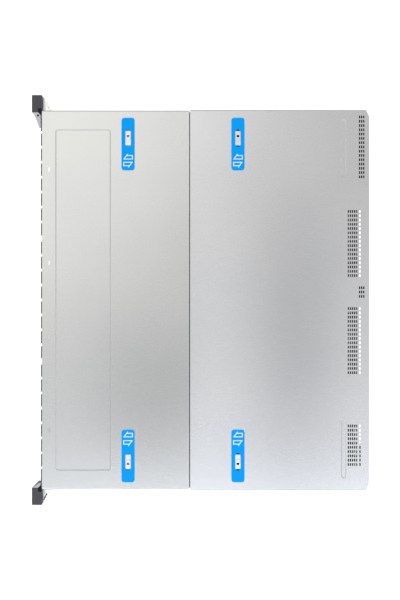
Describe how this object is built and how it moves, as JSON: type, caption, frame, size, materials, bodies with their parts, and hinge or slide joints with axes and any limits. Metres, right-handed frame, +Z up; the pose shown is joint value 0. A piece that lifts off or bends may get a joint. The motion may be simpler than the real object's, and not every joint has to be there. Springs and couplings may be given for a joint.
{
  "type": "rack server",
  "caption": "Rack-mount server with lift-off vented covers, finger latches, sliding drive carriers, cooling fans, pull-out power supplies and rack ears.",
  "frame": {"origin": "under the middle of the whole server, on the floor of the tray", "axes": "+Z up, the front with the drive carriers faces -Y, +X to the right seen from the front"},
  "size_m": [0.4826, 0.397, 0.0878],
  "materials": {
    "zinc_steel": "zinc-coated sheet",
    "dark_plastic": "fine grain",
    "blue_label": "printed film",
    "drive_black": "black coated",
    "circuit_green": "solder mask",
    "bare_aluminium": "satin",
    "silver_paint": "satin silver",
    "psu_steel": "nickel-plated",
    "fan_black": "moulded"
  },
  "bodies": {
    "chassis": {"chassis_tray": "zinc_steel", "rear_panel": "zinc_steel", "drive_cage": "zinc_steel", "drive_backplane": "circuit_green", "fan_wall": "zinc_steel", "fan_frames": "fan_black", "motherboard": "circuit_green", "heatsinks": "bare_aluminium", "memory_modules": "circuit_green", "air_duct": "dark_plastic", "riser_cages": "zinc_steel", "slot_covers": "zinc_steel", "io_ports": "psu_steel", "psu_bays": "zinc_steel", "rack_ears": "dark_plastic", "ear_trims": "silver_paint", "ear_brackets": "zinc_steel"},
    "front_cover_body": {"front_cover": "zinc_steel", "front_cover_labels": "blue_label", "front_cover_studs": "psu_steel"},
    "rear_cover_body": {"rear_cover": "zinc_steel", "rear_cover_labels": "blue_label"},
    "latch_front_left_body": {"latch_front_left": "psu_steel"},
    "latch_front_right_body": {"latch_front_right": "psu_steel"},
    "latch_rear_left_body": {"latch_rear_left": "psu_steel"},
    "latch_rear_right_body": {"latch_rear_right": "psu_steel"},
    "fan_rotor_1_body": {"fan_rotor_1": "fan_black"},
    "fan_rotor_2_body": {"fan_rotor_2": "fan_black"},
    "fan_rotor_3_body": {"fan_rotor_3": "fan_black"},
    "power_supply_1_body": {"power_supply_1": "bare_aluminium"},
    "psu_latch_1_body": {"psu_latch_1": "dark_plastic"},
    "power_supply_2_body": {"power_supply_2": "bare_aluminium"},
    "psu_latch_2_body": {"psu_latch_2": "dark_plastic"},
    "id_button_body": {"id_button": "dark_plastic"},
    "power_button_body": {"power_button": "dark_plastic"},
    "drive_carrier_01_body": {"drive_carrier_01": "drive_black"},
    "drive_carrier_02_body": {"drive_carrier_02": "drive_black"},
    "drive_carrier_03_body": {"drive_carrier_03": "drive_black"},
    "drive_carrier_04_body": {"drive_carrier_04": "drive_black"},
    "drive_carrier_05_body": {"drive_carrier_05": "drive_black"},
    "drive_carrier_06_body": {"drive_carrier_06": "drive_black"},
    "drive_carrier_07_body": {"drive_carrier_07": "drive_black"},
    "drive_carrier_08_body": {"drive_carrier_08": "drive_black"},
    "drive_carrier_09_body": {"drive_carrier_09": "drive_black"},
    "drive_carrier_10_body": {"drive_carrier_10": "drive_black"},
    "drive_carrier_11_body": {"drive_carrier_11": "drive_black"},
    "drive_carrier_12_body": {"drive_carrier_12": "drive_black"},
    "drive_carrier_13_body": {"drive_carrier_13": "drive_black"},
    "drive_carrier_14_body": {"drive_carrier_14": "drive_black"},
    "drive_carrier_15_body": {"drive_carrier_15": "drive_black"},
    "drive_carrier_16_body": {"drive_carrier_16": "drive_black"},
    "drive_carrier_17_body": {"drive_carrier_17": "drive_black"},
    "drive_carrier_18_body": {"drive_carrier_18": "drive_black"},
    "drive_carrier_19_body": {"drive_carrier_19": "drive_black"},
    "drive_carrier_20_body": {"drive_carrier_20": "drive_black"},
    "drive_carrier_21_body": {"drive_carrier_21": "drive_black"},
    "drive_carrier_22_body": {"drive_carrier_22": "drive_black"},
    "drive_carrier_23_body": {"drive_carrier_23": "drive_black"},
    "drive_carrier_24_body": {"drive_carrier_24": "drive_black"}
  },
  "joints": [
    {"name": "front_cover_lift", "type": "slide", "parent": "chassis", "child": "front_cover_body", "axis": [0, 0, 1], "range_m": [0, 0.13]},
    {"name": "rear_cover_lift", "type": "slide", "parent": "chassis", "child": "rear_cover_body", "axis": [0, 0, 1], "range_m": [0, 0.13]},
    {"name": "latch_front_left_slide", "type": "slide", "parent": "front_cover_body", "child": "latch_front_left_body", "axis": [1, 0, 0], "range_m": [0, 0.005], "stiffness_N_per_m": 300, "springref_m": -0.002},
    {"name": "latch_front_right_slide", "type": "slide", "parent": "front_cover_body", "child": "latch_front_right_body", "axis": [-1, 0, 0], "range_m": [0, 0.005], "stiffness_N_per_m": 300, "springref_m": -0.002},
    {"name": "latch_rear_left_slide", "type": "slide", "parent": "rear_cover_body", "child": "latch_rear_left_body", "axis": [1, 0, 0], "range_m": [0, 0.005], "stiffness_N_per_m": 300, "springref_m": -0.002},
    {"name": "latch_rear_right_slide", "type": "slide", "parent": "rear_cover_body", "child": "latch_rear_right_body", "axis": [-1, 0, 0], "range_m": [0, 0.005], "stiffness_N_per_m": 300, "springref_m": -0.002},
    {"name": "fan_rotor_1_spin", "type": "hinge", "parent": "chassis", "child": "fan_rotor_1_body", "pos_m": [-0.14, -0.0165, 0.0425], "axis": [0, 1, 0], "continuous": true},
    {"name": "fan_rotor_2_spin", "type": "hinge", "parent": "chassis", "child": "fan_rotor_2_body", "pos_m": [0, -0.0165, 0.0425], "axis": [0, 1, 0], "continuous": true},
    {"name": "fan_rotor_3_spin", "type": "hinge", "parent": "chassis", "child": "fan_rotor_3_body", "pos_m": [0.14, -0.0165, 0.0425], "axis": [0, 1, 0], "continuous": true},
    {"name": "power_supply_1_slide", "type": "slide", "parent": "chassis", "child": "power_supply_1_body", "axis": [0, 1, 0], "range_m": [0, 0.19]},
    {"name": "psu_latch_1_slide", "type": "slide", "parent": "power_supply_1_body", "child": "psu_latch_1_body", "axis": [1, 0, 0], "range_m": [0, 0.003], "stiffness_N_per_m": 800, "springref_m": -0.001},
    {"name": "power_supply_2_slide", "type": "slide", "parent": "chassis", "child": "power_supply_2_body", "axis": [0, 1, 0], "range_m": [0, 0.19]},
    {"name": "psu_latch_2_slide", "type": "slide", "parent": "power_supply_2_body", "child": "psu_latch_2_body", "axis": [-1, 0, 0], "range_m": [0, 0.003], "stiffness_N_per_m": 800, "springref_m": -0.001},
    {"name": "id_button_press", "type": "slide", "parent": "chassis", "child": "id_button_body", "axis": [0, 1, 0], "range_m": [0, 0.0015], "stiffness_N_per_m": 600, "springref_m": -0.0005},
    {"name": "power_button_press", "type": "slide", "parent": "chassis", "child": "power_button_body", "axis": [0, 1, 0], "range_m": [0, 0.0015], "stiffness_N_per_m": 600, "springref_m": -0.0005},
    {"name": "drive_carrier_01_slide", "type": "slide", "parent": "chassis", "child": "drive_carrier_01_body", "axis": [0, -1, 0], "range_m": [0, 0.14]},
    {"name": "drive_carrier_02_slide", "type": "slide", "parent": "chassis", "child": "drive_carrier_02_body", "axis": [0, -1, 0], "range_m": [0, 0.14]},
    {"name": "drive_carrier_03_slide", "type": "slide", "parent": "chassis", "child": "drive_carrier_03_body", "axis": [0, -1, 0], "range_m": [0, 0.14]},
    {"name": "drive_carrier_04_slide", "type": "slide", "parent": "chassis", "child": "drive_carrier_04_body", "axis": [0, -1, 0], "range_m": [0, 0.14]},
    {"name": "drive_carrier_05_slide", "type": "slide", "parent": "chassis", "child": "drive_carrier_05_body", "axis": [0, -1, 0], "range_m": [0, 0.14]},
    {"name": "drive_carrier_06_slide", "type": "slide", "parent": "chassis", "child": "drive_carrier_06_body", "axis": [0, -1, 0], "range_m": [0, 0.14]},
    {"name": "drive_carrier_07_slide", "type": "slide", "parent": "chassis", "child": "drive_carrier_07_body", "axis": [0, -1, 0], "range_m": [0, 0.14]},
    {"name": "drive_carrier_08_slide", "type": "slide", "parent": "chassis", "child": "drive_carrier_08_body", "axis": [0, -1, 0], "range_m": [0, 0.14]},
    {"name": "drive_carrier_09_slide", "type": "slide", "parent": "chassis", "child": "drive_carrier_09_body", "axis": [0, -1, 0], "range_m": [0, 0.14]},
    {"name": "drive_carrier_10_slide", "type": "slide", "parent": "chassis", "child": "drive_carrier_10_body", "axis": [0, -1, 0], "range_m": [0, 0.14]},
    {"name": "drive_carrier_11_slide", "type": "slide", "parent": "chassis", "child": "drive_carrier_11_body", "axis": [0, -1, 0], "range_m": [0, 0.14]},
    {"name": "drive_carrier_12_slide", "type": "slide", "parent": "chassis", "child": "drive_carrier_12_body", "axis": [0, -1, 0], "range_m": [0, 0.14]},
    {"name": "drive_carrier_13_slide", "type": "slide", "parent": "chassis", "child": "drive_carrier_13_body", "axis": [0, -1, 0], "range_m": [0, 0.14]},
    {"name": "drive_carrier_14_slide", "type": "slide", "parent": "chassis", "child": "drive_carrier_14_body", "axis": [0, -1, 0], "range_m": [0, 0.14]},
    {"name": "drive_carrier_15_slide", "type": "slide", "parent": "chassis", "child": "drive_carrier_15_body", "axis": [0, -1, 0], "range_m": [0, 0.14]},
    {"name": "drive_carrier_16_slide", "type": "slide", "parent": "chassis", "child": "drive_carrier_16_body", "axis": [0, -1, 0], "range_m": [0, 0.14]},
    {"name": "drive_carrier_17_slide", "type": "slide", "parent": "chassis", "child": "drive_carrier_17_body", "axis": [0, -1, 0], "range_m": [0, 0.14]},
    {"name": "drive_carrier_18_slide", "type": "slide", "parent": "chassis", "child": "drive_carrier_18_body", "axis": [0, -1, 0], "range_m": [0, 0.14]},
    {"name": "drive_carrier_19_slide", "type": "slide", "parent": "chassis", "child": "drive_carrier_19_body", "axis": [0, -1, 0], "range_m": [0, 0.14]},
    {"name": "drive_carrier_20_slide", "type": "slide", "parent": "chassis", "child": "drive_carrier_20_body", "axis": [0, -1, 0], "range_m": [0, 0.14]},
    {"name": "drive_carrier_21_slide", "type": "slide", "parent": "chassis", "child": "drive_carrier_21_body", "axis": [0, -1, 0], "range_m": [0, 0.14]},
    {"name": "drive_carrier_22_slide", "type": "slide", "parent": "chassis", "child": "drive_carrier_22_body", "axis": [0, -1, 0], "range_m": [0, 0.14]},
    {"name": "drive_carrier_23_slide", "type": "slide", "parent": "chassis", "child": "drive_carrier_23_body", "axis": [0, -1, 0], "range_m": [0, 0.14]},
    {"name": "drive_carrier_24_slide", "type": "slide", "parent": "chassis", "child": "drive_carrier_24_body", "axis": [0, -1, 0], "range_m": [0, 0.14]}
  ]
}
